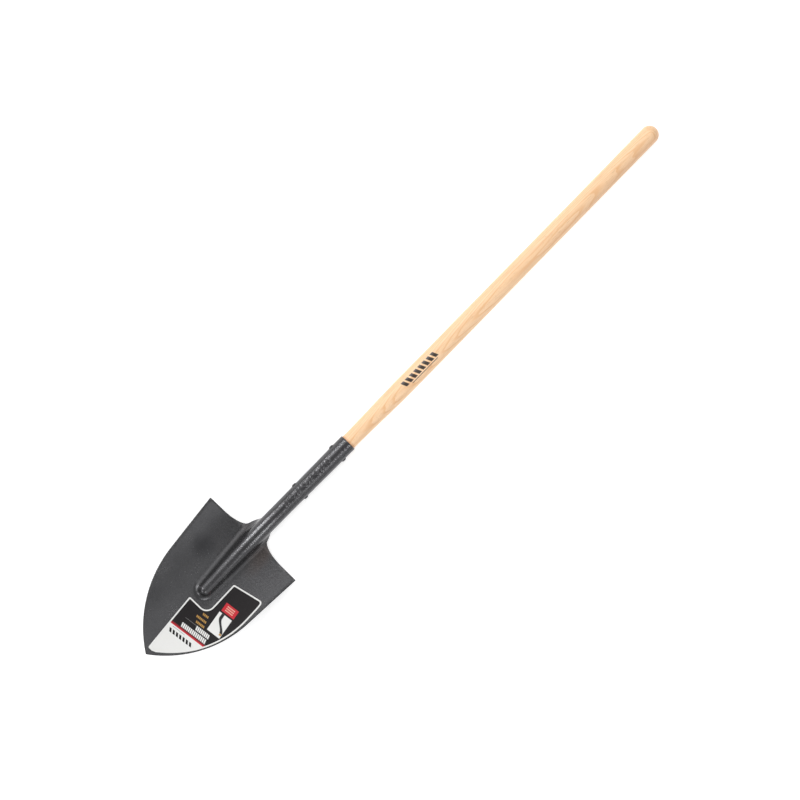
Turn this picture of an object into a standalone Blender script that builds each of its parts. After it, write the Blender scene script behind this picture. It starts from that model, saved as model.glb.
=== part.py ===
"""Round point shovel, lying on its back.

The pieces are a pressed steel head (blade, frog ridge and open-seam socket in one sheet), an
ash handle, two rivets that cross the socket and the handle, and a film label on the blade.

Tool frame, in metres: X runs from the tip of the blade towards the grip, along the straight
part of the handle; Y runs across; Z points out of the front of the blade. Every piece hangs
on one empty, which lays the tool on a floor at Z = 0.
"""

import math

import bmesh
import bpy
import numpy as np
from mathutils import Matrix, Vector

# Driving dimensions, in metres and degrees
OVERALL_LENGTH = 1.431
BLADE_LENGTH = 0.306
BLADE_WIDTH = 0.2335
SHEET = 0.002
GAP = 0.0003

# Blade outline and dish
POINT_ANGLE = math.radians(56)
SIDE_TAPER = math.radians(4.8)
TIP_FLAT = 0.003
TIP_HEIGHT = 0.049
TIP_LIFT = math.tan(math.radians(22))
SHOULDER_LIFT = math.tan(math.radians(14))
DISH_DEPTH = 0.022
HEEL_RUN = 0.016

# Frog: the hollow ridge that carries the socket down into the blade
NOSE_X = 0.171
NOSE_REACH = 0.023
NOSE_HEIGHT = 0.0165
NOSE_SLOPE = -0.21
NOSE_CREST_RADIUS = 0.013
NOSE_HALF_BASE = 0.0250
HEEL_HALF_BASE = 0.0345
FROG_ROOT_X = 0.385

# Web between the shoulders and the socket
STRIP_WIDTH = 0.078
CROTCH_RUN = 0.016
WRAP_RUN = 0.080

# Socket
SOCKET_MOUTH_X = 0.571
SOCKET_WAIST_X = 0.400
SOCKET_MOUTH_RADIUS = 0.0183
SOCKET_WAIST_RADIUS = 0.0168
SEAM_ANGLE = math.radians(175)

# Handle: straight from the grip, then bent gently back towards the socket
BEND_TOP_X = 0.860
BEND_RUN = 0.200
SOCKET_SLOPE = math.tan(math.radians(4.6))
GRIP_RADIUS = 0.0181
SWELL_RADIUS = 0.0187
NECK_RADIUS = 0.0160
SWELL_X = 0.730
EVEN_X = 1.150
TENON_END_X = 0.372
TENON_CHAMFER = 0.003

# Rivets
RIVET_X = {"rivet_lower": 0.437, "rivet_upper": 0.541}
SHANK_RADIUS = 0.003
HEAD_RADIUS = 0.0052
HEAD_HEIGHT = 0.002

# Label
LABEL_SHEET = 0.0003
LABEL_MARGIN = 0.003
LABEL_TOP_MARGIN = 0.006
LABEL_WAIST_X = 0.095
LABEL_TOP_RUN = 0.125
LABEL_FOOT_X = 0.0125
LABEL_FOOT_INNER = -0.0063
LABEL_FOOT_OUTER = 0.0035
LABEL_NOSE_X = 0.139
LABEL_NOSE_INNER = -0.0125
LABEL_NOSE_ROUND = 0.017
LABEL_TOWER_X = 0.2155
LABEL_TOWER_INNER = 0.0350
LABEL_TOP_X = 0.2305
LABEL_TOP_OUTER = 0.0995
LABEL_TOP_ROUND = 0.006
LABEL_ROUND = 0.003

# Mesh fineness
TIP_ROWS = 4
LOWER_BLADE_ROWS = 9
NOSE_ROWS = 12
FROG_ROWS = 10
CROTCH_ROWS = 6
WEB_ROWS = 11
SOCKET_ROWS = 7
TIP_START = 0.001
TIP_RUN = 0.012
TOP_COLUMNS = 6
FILLET_COLUMNS = 7
DISH_COLUMNS = 6
WING_COLUMNS = 6
TENON_RINGS = 8
BEND_RINGS = 18
GRIP_RINGS = 8
DOME_STEPS = 8
HEAD_STEPS = 6
HANDLE_SIDES = 32
RIVET_SIDES = 24
CORNER_STEPS = 5
LABEL_EDGE_POINTS = 18
SECTION_STEPS = 240
LABEL_CELL = 0.012
SETTLING_TURNS = 6
SHARP_ANGLE = math.radians(35)


def smooth_step(t):
    t = min(max(t, 0.0), 1.0)
    return t * t * (3 - 2 * t)


def mix(a, b, t):
    return a + (b - a) * t


# Centre line and radii of the socket and the handle


def spine_height(x):
    """Height of the centre line of the handle and the socket."""
    into_bend = min(max(BEND_TOP_X - x, 0.0), BEND_RUN)
    below_bend = max(BEND_TOP_X - BEND_RUN - x, 0.0)
    return -SOCKET_SLOPE * (into_bend**2 / (2 * BEND_RUN) + below_bend)


def socket_radius(x):
    t = (x - SOCKET_WAIST_X) / (SOCKET_MOUTH_X - SOCKET_WAIST_X)
    return mix(SOCKET_WAIST_RADIUS, SOCKET_MOUTH_RADIUS, max(t, 0.0))


def handle_radius(x):
    if x <= SOCKET_MOUTH_X:
        return socket_radius(x) - SHEET - GAP
    if x <= SWELL_X:
        return mix(NECK_RADIUS, SWELL_RADIUS, smooth_step((x - SOCKET_MOUTH_X) / (SWELL_X - SOCKET_MOUTH_X)))
    return mix(SWELL_RADIUS, GRIP_RADIUS, smooth_step((x - SWELL_X) / (EVEN_X - SWELL_X)))


# Blade surface


def blade_half_width(x):
    """Straight tapering sides, then one arc on each side that runs to the point."""
    side = math.tan(SIDE_TAPER)
    rise = math.cos(SIDE_TAPER) - math.cos(POINT_ANGLE)
    run = math.sin(POINT_ANGLE) - math.sin(SIDE_TAPER)
    radius = (BLADE_WIDTH / 2 - BLADE_LENGTH * side) / (rise - run * side)
    if x > radius * run:
        return BLADE_WIDTH / 2 - (BLADE_LENGTH - x) * side
    along = radius * math.sin(POINT_ANGLE) - x
    return max(math.sqrt(radius**2 - along**2) - radius * math.cos(POINT_ANGLE), TIP_FLAT / 2)


def blade_height(x):
    """Height of the middle of the dish, which levels off behind the shoulders."""
    on_blade = min(x, BLADE_LENGTH)
    slackening = (TIP_LIFT - SHOULDER_LIFT) / (2 * BLADE_LENGTH)
    height = TIP_HEIGHT - TIP_LIFT * on_blade + slackening * on_blade**2
    behind = min(max(x - BLADE_LENGTH, 0.0), HEEL_RUN)
    return height - SHOULDER_LIFT * (behind - behind**2 / (2 * HEEL_RUN))


def dish_rise(y):
    return DISH_DEPTH * (y / (BLADE_WIDTH / 2)) ** 2


# Frog and socket, as half sections that unroll from the crest


def crest_height(x):
    """Front line of the tool: along the socket, then bending to meet the blade at the nose."""
    if x >= FROG_ROOT_X:
        return spine_height(x) + socket_radius(x)
    run = FROG_ROOT_X - NOSE_X
    t = (x - NOSE_X) / run
    nose_height = blade_height(NOSE_X) + NOSE_HEIGHT
    root_height = spine_height(FROG_ROOT_X) + socket_radius(FROG_ROOT_X)
    ends = nose_height * (2 * t**3 - 3 * t**2 + 1) + root_height * (3 * t**2 - 2 * t**3)
    slopes = NOSE_SLOPE * (t**3 - 2 * t**2 + t) + SOCKET_SLOPE * (t**3 - t**2)
    return ends + run * slopes


def frog_lengths(x):
    """Turn of the frog's sides, and the developed lengths where its round top and fillet end."""
    t = min(max((x - NOSE_X) / (BLADE_LENGTH - NOSE_X), 0.0), 1.0)
    crest = mix(NOSE_CREST_RADIUS, SOCKET_WAIST_RADIUS, t)
    half_base = mix(NOSE_HALF_BASE, HEEL_HALF_BASE, t)
    turn = 2 * math.atan2(crest_height(x) - blade_height(x), half_base)
    fillet = half_base / math.sin(turn) - crest
    return turn, crest * turn, (crest + fillet) * turn


def wrap(x):
    """0 where the section is the frog, 1 where the sheet has closed into the socket."""
    return smooth_step((x - BLADE_LENGTH) / WRAP_RUN)


def section(x, lengths):
    """Distance across and drop below the crest at each developed length of the half section."""
    turn, top_end, fillet_end = frog_lengths(x)
    fine = np.linspace(0, max(lengths), SECTION_STEPS)
    frog_heading = np.interp(fine, [0, top_end, fillet_end], [0, turn, 0])
    heading = mix(frog_heading, fine / socket_radius(x), wrap(x))
    middle = (heading[1:] + heading[:-1]) / 2
    step = fine[1]
    across = np.concatenate([[0], np.cumsum(np.cos(middle)) * step])
    drop = np.concatenate([[0], np.cumsum(np.sin(middle)) * step])
    return np.interp(lengths, fine, across), np.interp(lengths, fine, drop)


def strip_lengths(x):
    """Developed lengths of the columns that make the frog and the strip of dish beside it."""
    _, top_end, fillet_end = frog_lengths(x)
    base = section(x, [fillet_end])[0][0]
    strip = STRIP_WIDTH * blade_half_width(x) / (BLADE_WIDTH / 2)
    return np.concatenate([
        np.linspace(0, top_end, TOP_COLUMNS, endpoint=False),
        np.linspace(top_end, fillet_end, FILLET_COLUMNS, endpoint=False),
        np.linspace(fillet_end, fillet_end + strip - base, DISH_COLUMNS),
    ])


def mirrored(half):
    return [(-y, z) for y, z in reversed(half[1:])] + half


def blade_row(x):
    """One row of the blade, from edge to edge."""
    if x >= NOSE_X:
        across, drop = section(x, strip_lengths(x))
        heights = crest_height(x) - drop
    else:
        at_nose, _ = section(NOSE_X, strip_lengths(NOSE_X))
        across = at_nose * blade_half_width(x) / blade_half_width(NOSE_X)
        heights = blade_height(x) + nose_rise(x, across)
    strip = [(y, z + dish_rise(y)) for y, z in zip(across, heights)]
    wing = np.linspace(across[-1], blade_half_width(x), WING_COLUMNS + 1)[1:]
    return mirrored(strip + [(y, blade_height(x) + dish_rise(y)) for y in wing])


def nose_rise(x, across):
    """Height of the rounded end of the frog above the dish."""
    lengths = np.linspace(0, frog_lengths(NOSE_X)[-1], SECTION_STEPS)
    reach, drop = section(NOSE_X, lengths)
    stretch = reach[-1] / NOSE_REACH
    distance = np.hypot(across, (NOSE_X - x) * stretch)
    return np.interp(distance, reach, NOSE_HEIGHT - drop, right=0.0)


def socket_row(x, crotch):
    """One row of the web or the socket. crotch falls from 1 at the shoulder to 0 on the web."""
    at_shoulder = strip_lengths(BLADE_LENGTH)
    closed = SEAM_ANGLE * socket_radius(x)
    across, drop = section(x, at_shoulder * mix(closed / at_shoulder[-1], 1, crotch))
    heights = crest_height(x) - drop
    still_dished = 1 - wrap(x)
    return mirrored([(y, z + dish_rise(y) * still_dished) for y, z in zip(across, heights)])


def head_rows():
    """(x, row) for every row of the head, from the tip to the mouth of the socket."""
    nose_foot = NOSE_X - NOSE_REACH - 0.004
    web_end = BLADE_LENGTH + WRAP_RUN
    blade_stations = np.concatenate([
        np.geomspace(TIP_START, TIP_RUN, TIP_ROWS, endpoint=False),
        np.linspace(TIP_RUN, nose_foot, LOWER_BLADE_ROWS, endpoint=False),
        np.linspace(nose_foot, NOSE_X, NOSE_ROWS, endpoint=False),
        np.linspace(NOSE_X, BLADE_LENGTH, FROG_ROWS),
    ])
    rows = [(x, blade_row(x)) for x in blade_stations]
    for angle in np.linspace(0, math.pi / 2, CROTCH_ROWS)[1:]:
        x = BLADE_LENGTH + CROTCH_RUN * (1 - math.cos(angle))
        rows.append((x, socket_row(x, 1 - math.sin(angle))))
    web_stations = np.concatenate([
        np.linspace(BLADE_LENGTH + CROTCH_RUN, web_end, WEB_ROWS)[1:],
        np.linspace(web_end, SOCKET_MOUTH_X, SOCKET_ROWS)[1:],
    ])
    return rows + [(x, socket_row(x, 0.0)) for x in web_stations]


# Building helpers


def clear_scene():
    for old in list(bpy.data.objects):
        bpy.data.objects.remove(old, do_unlink=True)


def make_material(name, colour, roughness, metallic):
    material = bpy.data.materials.new(name)
    material.use_nodes = True
    shader = material.node_tree.nodes["Principled BSDF"]
    shader.inputs["Base Color"].default_value = (*colour, 1)
    shader.inputs["Roughness"].default_value = roughness
    shader.inputs["Metallic"].default_value = metallic
    material.diffuse_color = (*colour, 1)
    return material


def make_object(name, bm, material, parent):
    bmesh.ops.recalc_face_normals(bm, faces=bm.faces)
    for face in bm.faces:
        face.smooth = True
    for edge in bm.edges:
        edge.smooth = edge.calc_face_angle(0) < SHARP_ANGLE
    mesh = bpy.data.meshes.new(name)
    bm.to_mesh(mesh)
    bm.free()
    if material is not None:
        mesh.materials.append(material)
    made = bpy.data.objects.new(name, mesh)
    bpy.context.scene.collection.objects.link(made)
    made.parent = parent
    return made


def thicken(bm, offset_of):
    """Closes an open sheet into a plate, with its back at each vertex plus offset_of(vertex)."""
    bm.normal_update()
    front = list(bm.verts)
    rim = [edge for edge in bm.edges if edge.is_boundary]
    back = {vertex: bm.verts.new(vertex.co + offset_of(vertex)) for vertex in front}
    for face in list(bm.faces):
        bm.faces.new([back[vertex] for vertex in reversed(face.verts)])
    for edge in rim:
        a, b = edge.verts
        bm.faces.new([b, a, back[a], back[b]])


def cut_with(target, cutter):
    boolean = target.modifiers.new("cut_" + cutter.name, "BOOLEAN")
    boolean.operation = "DIFFERENCE"
    boolean.solver = "EXACT"
    boolean.object = cutter


# Pieces


def make_head(material, parent):
    bm = bmesh.new()
    rows = []
    for x, row in head_rows():
        rows.append([bm.verts.new((x, y, z)) for y, z in row])
    for lower, upper in zip(rows, rows[1:]):
        trim = (len(lower) - len(upper)) // 2
        matching = lower[trim:len(lower) - trim]
        for a, b, c, d in zip(matching, upper, upper[1:], matching[1:]):
            bm.faces.new([a, b, c, d])

    def offset(vertex):
        normal = vertex.normal
        on_shoulder = abs(vertex.co.x - BLADE_LENGTH) < GAP
        if not on_shoulder:
            return -normal * SHEET
        square = Vector((0, normal.y, normal.z))
        return -square * SHEET / square.length_squared

    thicken(bm, offset)
    return make_object("shovel_head", bm, material, parent)


def handle_stations():
    """(x, radius) of the rings of the handle, from the end inside the socket to the grip."""
    mouth_clear = SOCKET_MOUTH_X + GAP
    dome_start = OVERALL_LENGTH - GRIP_RADIUS
    end_radius = handle_radius(TENON_END_X)
    stations = [(TENON_END_X, end_radius - TENON_CHAMFER)]
    lower = np.concatenate([
        np.linspace(TENON_END_X + TENON_CHAMFER, SOCKET_MOUTH_X, TENON_RINGS),
        np.linspace(mouth_clear, BEND_TOP_X, BEND_RINGS),
        np.linspace(BEND_TOP_X, dome_start, GRIP_RINGS)[1:],
    ])
    stations += [(x, handle_radius(x)) for x in lower]
    for angle in np.linspace(0, math.pi / 2, DOME_STEPS)[1:-1]:
        stations.append((dome_start + GRIP_RADIUS * math.sin(angle), GRIP_RADIUS * math.cos(angle)))
    return stations


def make_handle(material, parent):
    bm = bmesh.new()
    turns = [2 * math.pi * i / HANDLE_SIDES for i in range(HANDLE_SIDES)]
    rings = []
    for x, radius in handle_stations():
        middle = spine_height(x)
        rings.append([
            bm.verts.new((x, radius * math.cos(t), middle + radius * math.sin(t))) for t in turns
        ])
    for lower, upper in zip(rings, rings[1:]):
        for i in range(HANDLE_SIDES):
            j = (i + 1) % HANDLE_SIDES
            bm.faces.new([lower[i], upper[i], upper[j], lower[j]])
    bm.faces.new(rings[0])
    grip_tip = bm.verts.new((OVERALL_LENGTH, 0, 0))
    for i in range(HANDLE_SIDES):
        bm.faces.new([rings[-1][i], grip_tip, rings[-1][(i + 1) % HANDLE_SIDES]])
    return make_object("handle", bm, material, parent)


def make_rivet(name, material, parent):
    """A shank across the socket with a domed head on each side, seated on the round socket."""
    x = RIVET_X[name]
    seat = socket_radius(x) + GAP
    dome = [
        (HEAD_RADIUS * math.sin(t), HEAD_HEIGHT * math.cos(t))
        for t in np.linspace(0, math.pi / 2, HEAD_STEPS)[1:]
    ]
    profile = dome + [(SHANK_RADIUS, 0)]
    bm = bmesh.new()
    turns = [2 * math.pi * i / RIVET_SIDES for i in range(RIVET_SIDES)]

    def ring(radius, lift, side):
        made = []
        for t in turns:
            along = radius * math.cos(t)
            up = radius * math.sin(t)
            made.append(bm.verts.new((along, side * (math.sqrt(seat**2 - up**2) + lift), up)))
        return made

    rings = [ring(radius, lift, 1) for radius, lift in profile]
    rings += [ring(radius, lift, -1) for radius, lift in reversed(profile)]
    for one, two in zip(rings, rings[1:]):
        for i in range(RIVET_SIDES):
            j = (i + 1) % RIVET_SIDES
            bm.faces.new([one[i], two[i], two[j], one[j]])
    for end, side in ((rings[0], 1), (rings[-1], -1)):
        apex = bm.verts.new((0, side * (seat + HEAD_HEIGHT), 0))
        for i in range(RIVET_SIDES):
            bm.faces.new([end[i], end[(i + 1) % RIVET_SIDES], apex])
    rivet = make_object(name, bm, material, parent)
    rivet.location = (x, 0, spine_height(x))
    rivet.rotation_euler = (0, -math.atan(SOCKET_SLOPE), 0)
    return rivet


def make_rivet_drill(name, parent):
    """The guide for the hole that a rivet needs through the socket and the handle."""
    bm = bmesh.new()
    bmesh.ops.create_cone(
        bm,
        cap_ends=True,
        segments=RIVET_SIDES,
        radius1=SHANK_RADIUS + GAP,
        radius2=SHANK_RADIUS + GAP,
        depth=4 * SOCKET_MOUTH_RADIUS,
        matrix=Matrix.Rotation(math.pi / 2, 4, "X"),
    )
    x = RIVET_X[name]
    drill = make_object("drill_" + name, bm, None, parent)
    drill.location = (x, 0, spine_height(x))
    drill.rotation_euler = (0, -math.atan(SOCKET_SLOPE), 0)
    drill.display_type = "WIRE"
    drill.hide_render = True
    return drill


def rounded(corners):
    """Outline with an arc at each (x, y, radius) corner; a radius of 0 keeps the point."""
    outline = []
    count = len(corners)
    for i, (x, y, radius) in enumerate(corners):
        here = Vector((x, y))
        if radius == 0:
            outline.append(here)
            continue
        before = (Vector(corners[i - 1][:2]) - here).normalized()
        after = (Vector(corners[(i + 1) % count][:2]) - here).normalized()
        half = before.angle(after) / 2
        centre = here + (before + after).normalized() * radius / math.sin(half)
        start = here + before * radius / math.tan(half) - centre
        sweep = start.angle_signed(here + after * radius / math.tan(half) - centre)
        for k in range(CORNER_STEPS + 1):
            outline.append(centre + Matrix.Rotation(-sweep * k / CORNER_STEPS, 2) @ start)
    return outline


def label_outer_edge(x):
    away = (x - LABEL_WAIST_X) / LABEL_TOP_RUN
    return blade_half_width(x) - LABEL_MARGIN - LABEL_TOP_MARGIN * away**2


def label_outline():
    """A tower beside the frog on a foot that reaches the point, with a hollow round the nose."""
    edge_stations = np.linspace(LABEL_TOWER_X, LABEL_FOOT_X + LABEL_ROUND, LABEL_EDGE_POINTS)
    corners = [
        (LABEL_TOWER_X, LABEL_TOWER_INNER, LABEL_ROUND),
        (LABEL_TOP_X, LABEL_TOP_OUTER, LABEL_TOP_ROUND),
    ]
    corners += [(x, label_outer_edge(x), 0) for x in edge_stations]
    corners += [
        (LABEL_FOOT_X, LABEL_FOOT_OUTER, LABEL_ROUND / 2),
        (LABEL_FOOT_X, LABEL_FOOT_INNER, LABEL_ROUND),
        (LABEL_NOSE_X, LABEL_NOSE_INNER, LABEL_ROUND),
        (LABEL_NOSE_X, LABEL_TOWER_INNER, LABEL_NOSE_ROUND),
    ]
    return rounded(corners)


def make_label(material, parent):
    bm = bmesh.new()
    bm.faces.new([bm.verts.new((x, -across, 0)) for x, across in label_outline()])
    for axis, reach in ((Vector((1, 0, 0)), BLADE_LENGTH), (Vector((0, 1, 0)), BLADE_WIDTH / 2)):
        for place in np.arange(-reach, reach, LABEL_CELL):
            everything = bm.verts[:] + bm.edges[:] + bm.faces[:]
            bmesh.ops.bisect_plane(bm, geom=everything, dist=1e-7, plane_co=axis * place, plane_no=axis)
    bmesh.ops.triangulate(bm, faces=bm.faces)
    for vertex in bm.verts:
        vertex.co.z = blade_height(vertex.co.x) + dish_rise(vertex.co.y) + GAP + LABEL_SHEET
    bm.normal_update()
    if sum(face.normal.z for face in bm.faces) < 0:
        bmesh.ops.reverse_faces(bm, faces=bm.faces)
    thicken(bm, lambda vertex: Vector((0, 0, -LABEL_SHEET)))
    return make_object("label", bm, material, parent)


# Resting pose


def lowest(points, tilt):
    """Lowest of the points when the tool frame is turned by tilt, as (x, z)."""
    low = min((tilt @ point for point in points), key=lambda turned: turned.z)
    return low.x, low.z


def lay_on_back(tool, head, handle):
    """Turns the tool until its heel and its grip both touch the floor, and centres it."""
    head_points = [vertex.co for vertex in head.data.vertices]
    grip_points = [vertex.co for vertex in handle.data.vertices if vertex.co.x > BEND_TOP_X]
    angle = 0.0
    for _ in range(SETTLING_TURNS):
        tilt = Matrix.Rotation(angle, 3, "Y")
        heel_x, heel_z = lowest(head_points, tilt)
        grip_x, grip_z = lowest(grip_points, tilt)
        angle += math.atan2(grip_z - heel_z, grip_x - heel_x)
    tilt = Matrix.Rotation(angle, 3, "Y")
    along = [(tilt @ point).x for point in head_points + grip_points]
    tool.rotation_euler = (0, angle, 0)
    tool.location = (-(min(along) + max(along)) / 2, 0, -lowest(head_points, tilt)[1])


def main():
    clear_scene()
    steel = make_material("grey_painted_steel", (0.115, 0.115, 0.12), 0.45, 0.3)
    ash = make_material("ash_wood", (0.86, 0.66, 0.42), 0.5, 0.0)
    rivet_steel = make_material("dark_rivet_steel", (0.1, 0.1, 0.105), 0.4, 0.6)
    film = make_material("printed_film", (0.03, 0.03, 0.032), 0.35, 0.0)

    tool = bpy.data.objects.new("tool_on_its_back", None)
    bpy.context.scene.collection.objects.link(tool)
    head = make_head(steel, tool)
    handle = make_handle(ash, tool)
    for name in RIVET_X:
        make_rivet(name, rivet_steel, tool)
        drill = make_rivet_drill(name, tool)
        cut_with(head, drill)
        cut_with(handle, drill)
    make_label(film, tool)
    lay_on_back(tool, head, handle)
    bpy.context.view_layer.update()


main()
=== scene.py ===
"""Round point shovel: the finished look of each piece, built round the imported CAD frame.

Every piece is modelled in the tool frame, in metres: X runs from the tip of the blade towards
the grip, Y runs across, and Z points out of the front of the blade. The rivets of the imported
model say where the tool frame lies on the floor.
"""

import math

import bmesh
import bpy
import numpy as np
from mathutils import Matrix, Vector


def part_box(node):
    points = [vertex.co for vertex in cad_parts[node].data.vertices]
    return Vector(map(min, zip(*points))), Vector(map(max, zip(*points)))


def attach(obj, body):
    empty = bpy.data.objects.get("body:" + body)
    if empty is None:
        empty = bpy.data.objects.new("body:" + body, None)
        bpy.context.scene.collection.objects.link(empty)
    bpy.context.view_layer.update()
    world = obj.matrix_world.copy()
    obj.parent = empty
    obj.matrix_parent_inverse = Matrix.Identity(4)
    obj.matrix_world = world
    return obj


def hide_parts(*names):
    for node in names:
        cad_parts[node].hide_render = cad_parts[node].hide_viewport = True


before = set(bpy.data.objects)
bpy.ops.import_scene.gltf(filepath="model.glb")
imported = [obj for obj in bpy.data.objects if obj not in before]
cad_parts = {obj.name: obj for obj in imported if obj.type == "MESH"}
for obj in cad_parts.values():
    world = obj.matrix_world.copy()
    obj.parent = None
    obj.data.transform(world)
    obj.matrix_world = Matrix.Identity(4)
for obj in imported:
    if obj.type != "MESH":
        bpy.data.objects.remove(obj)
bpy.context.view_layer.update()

# Blade outline and dish
BLADE_LENGTH = 0.306
BLADE_WIDTH = 0.2335
SHEET = 0.002
POINT_ANGLE = math.radians(56)
SIDE_TAPER = math.radians(4.8)
TIP_FLAT = 0.003
TIP_HEIGHT = 0.049
TIP_LIFT = math.tan(math.radians(22))
SHOULDER_LIFT = math.tan(math.radians(14))
DISH_DEPTH = 0.022
HEEL_RUN = 0.016
EDGE_ROUND = 0.0006
RIM_PROFILE = ((0.62, 0.12), (1.0, 0.38), (1.0, 0.62), (0.62, 0.88))

# Frog: the hollow ridge that carries the socket down into the blade
NOSE_X = 0.171
NOSE_REACH = 0.026
NOSE_HEIGHT = 0.0165
NOSE_SLOPE = -0.21
NOSE_CREST_RADIUS = 0.013
NOSE_HALF_BASE = 0.0250
HEEL_HALF_BASE = 0.0345
FROG_ROOT_X = 0.375

# Web between the shoulders and the socket
STRIP_WIDTH = 0.078
CROTCH_RUN = 0.016
WRAP_RUN = 0.080

# Socket
SOCKET_MOUTH_X = 0.571
SOCKET_WAIST_X = 0.400
SOCKET_MOUTH_RADIUS = 0.0183
SOCKET_WAIST_RADIUS = 0.0168
SEAM_ANGLE = math.radians(175)
FIT_GAP = 0.0003

# Pressed mark on the front of the socket: slanted bars and lozenges in turn
PRESSED_START_X = 0.395
PRESSED_PITCH = 0.0163
PRESSED_COUNT = 8
PRESSED_MIDDLE = 0.0028
PRESSED_HALF_HEIGHT = 0.0072
PRESSED_RISE = 0.0009
PRESSED_SOFTNESS = 0.0009
BAR_SLANT = math.tan(math.radians(32))
BAR_SPACING = 0.0068
BAR_HALF_WIDTH = 0.0015
LOZENGE_HALF_LENGTH = 0.0062
LOZENGE_WALL = 0.7
LOZENGE_NARROWING = 0.75

# Handle
OVERALL_LENGTH = 1.431
BEND_TOP_X = 0.860
BEND_RUN = 0.200
SOCKET_SLOPE = math.tan(math.radians(4.6))
GRIP_RADIUS = 0.0181
SWELL_RADIUS = 0.0187
NECK_RADIUS = 0.0160
SWELL_X = 0.730
EVEN_X = 1.150
TENON_END_X = 0.372
TENON_CHAMFER = 0.003

# Grain of the handle: rings round a pith behind it, with a swing that makes arches on the front
PITH_Y = 0.016
PITH_Z = -0.055
RING_WIDTH = 0.0028
ARCH_X = 0.93
ARCH_RATE = 7.5
ARCH_SWING = 0.0065
STREAK_SLANT = 0.07

# Ink mark on the handle: slanted bars over a thin line
INK_START_X = 0.728
INK_END_X = 0.820
INK_PITCH = 0.0115
INK_SLANT = 0.45
INK_LOW_Y = -0.0030
INK_HIGH_Y = 0.0095
LINE_START_X = 0.742
LINE_END_X = 0.812
LINE_LOW_Y = -0.0068
LINE_HIGH_Y = -0.0054
INK_SOFTNESS = 0.0003
LINE_SOFTNESS = 0.0002

# Rivets
LOWER_RIVET_X = 0.437
UPPER_RIVET_X = 0.541
SHANK_RADIUS = 0.003
HEAD_RADIUS = 0.0052
HEAD_HEIGHT = 0.002

# Label
FILM = 0.0002
FILM_LIFT = 0.00015
LABEL_MARGIN = 0.003
LABEL_TOP_MARGIN = 0.006
LABEL_WAIST_X = 0.095
LABEL_TOP_RUN = 0.125
LABEL_FOOT_RUN = 0.075
LABEL_FOOT_X = 0.0125
LABEL_EDGE_START_X = 0.216
LABEL_EDGE_END_X = 0.016
LABEL_HOLLOW_X = 0.139
LABEL_CELL = 0.0025
LABEL_BORDER = 0.0028
LABEL_FOOT_END = 0.0795
PRINT_TURN = math.radians(7)
PRINT_SOFTNESS = 0.00025

# Marks on the paint: a brown tint in each crotch, and painted shade as a soft dark patch on the dish
# beside the frog
CROTCH_TINT_START_X = 0.262
CROTCH_TINT_END_X = 0.318
CROTCH_TINT_INNER_Y = 0.024
CROTCH_TINT_OUTER_Y = 0.050
SHADE_PATCH_X = 0.228
SHADE_PATCH_Y = 0.062
SHADE_PATCH_RADIUS = 0.036
SHADE_PATCH_CORE = 0.006

# Colours of the paint
DARK_PAINT = (0.054, 0.054, 0.057)
PALE_PAINT = (0.098, 0.098, 0.102)
BROWN_CROTCH_TINT = (0.085, 0.060, 0.048)
# Painted shade: the grey of the soft dark patch beside the frog
PAINTED_SHADE_GREY = (0.026, 0.026, 0.029)
WORN_PAINT = (0.20, 0.195, 0.19)

# Colours of the handle
EARLY_WOOD = (0.89, 0.590, 0.345)
LATE_WOOD = (0.80, 0.460, 0.225)
WOOD_STREAK = (0.78, 0.45, 0.235)
WOOD_FIBRE = (0.93, 0.68, 0.440)
# Painted shade: the darker tone of the handle's -Y side towards the grip
SHADED_GRIP_WOOD = (0.62, 0.35, 0.190)
WOOD_PORE = (0.42, 0.25, 0.13)
# Painted shade: the darker brown of the wood just out of the socket's mouth
MOUTH_SHADE_WOOD = (0.55, 0.24, 0.10)
INK = (0.012, 0.010, 0.010)

# Colours of the label
BLACK = (0.008, 0.006, 0.007)
WHITE = (0.74, 0.74, 0.725)
RED = (0.52, 0.022, 0.034)
DARK_RED = (0.20, 0.014, 0.020)
CREAM = (0.72, 0.42, 0.33)
GOLD = (0.45, 0.25, 0.065)
GREY = (0.20, 0.20, 0.20)
DRAWN_BAR = (0.020, 0.019, 0.021)
FLECK = (0.5, 0.5, 0.5)

# Studio
LAMP_DISTANCE = 5.0
TOOL_MIDDLE_X = 0.75
WEB_MIDDLE_X = 0.345
BLADE_MIDDLE_X = 0.20
FLOOR_HALF_SIZE = 12.0
FLOOR_GLOW = 0.42
SKY_GLOW = 0.40

# Mesh fineness
FIRST_ROW_X = 0.001
POINT_END_X = 0.012
ROW_MARGIN = 0.004
POINT_ROWS = 6
BELLY_ROWS = 24
NOSE_ROWS = 30
FROG_ROWS = 34
CROTCH_ROWS = 12
WEB_ROWS = 26
PRESSED_ROW_STEP = 0.0008
MOUTH_ROWS = 12
TENON_RINGS = 24
NECK_RINGS = 60
GRIP_RINGS = 60
DOME_RINGS = 20
LABEL_EDGE_POINTS = 60
TOP_COLUMNS = 30
FILLET_COLUMNS = 22
DISH_COLUMNS = 14
WING_COLUMNS = 6
SECTION_STEPS = 400
HANDLE_SIDES = 96
RIVET_SIDES = 48
ARC_STEPS = 10


def smooth_step(t):
    """0 up to t = 0, 1 from t = 1, and an even S between them."""
    t = min(max(t, 0.0), 1.0)
    return t * t * (3 - 2 * t)


def mix(a, b, t):
    """a where t is 0, b where t is 1."""
    return a + (b - a) * t


# Centre line and radii of the socket and the handle


def spine_height(x):
    """Height of the centre line of the handle and the socket."""
    into_bend = min(max(BEND_TOP_X - x, 0.0), BEND_RUN)
    below_bend = max(BEND_TOP_X - BEND_RUN - x, 0.0)
    return -SOCKET_SLOPE * (into_bend**2 / (2 * BEND_RUN) + below_bend)


def socket_radius(x):
    """Outer radius: even below the waist, widening from there to the mouth."""
    t = (x - SOCKET_WAIST_X) / (SOCKET_MOUTH_X - SOCKET_WAIST_X)
    return mix(SOCKET_WAIST_RADIUS, SOCKET_MOUTH_RADIUS, max(t, 0.0))


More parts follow.
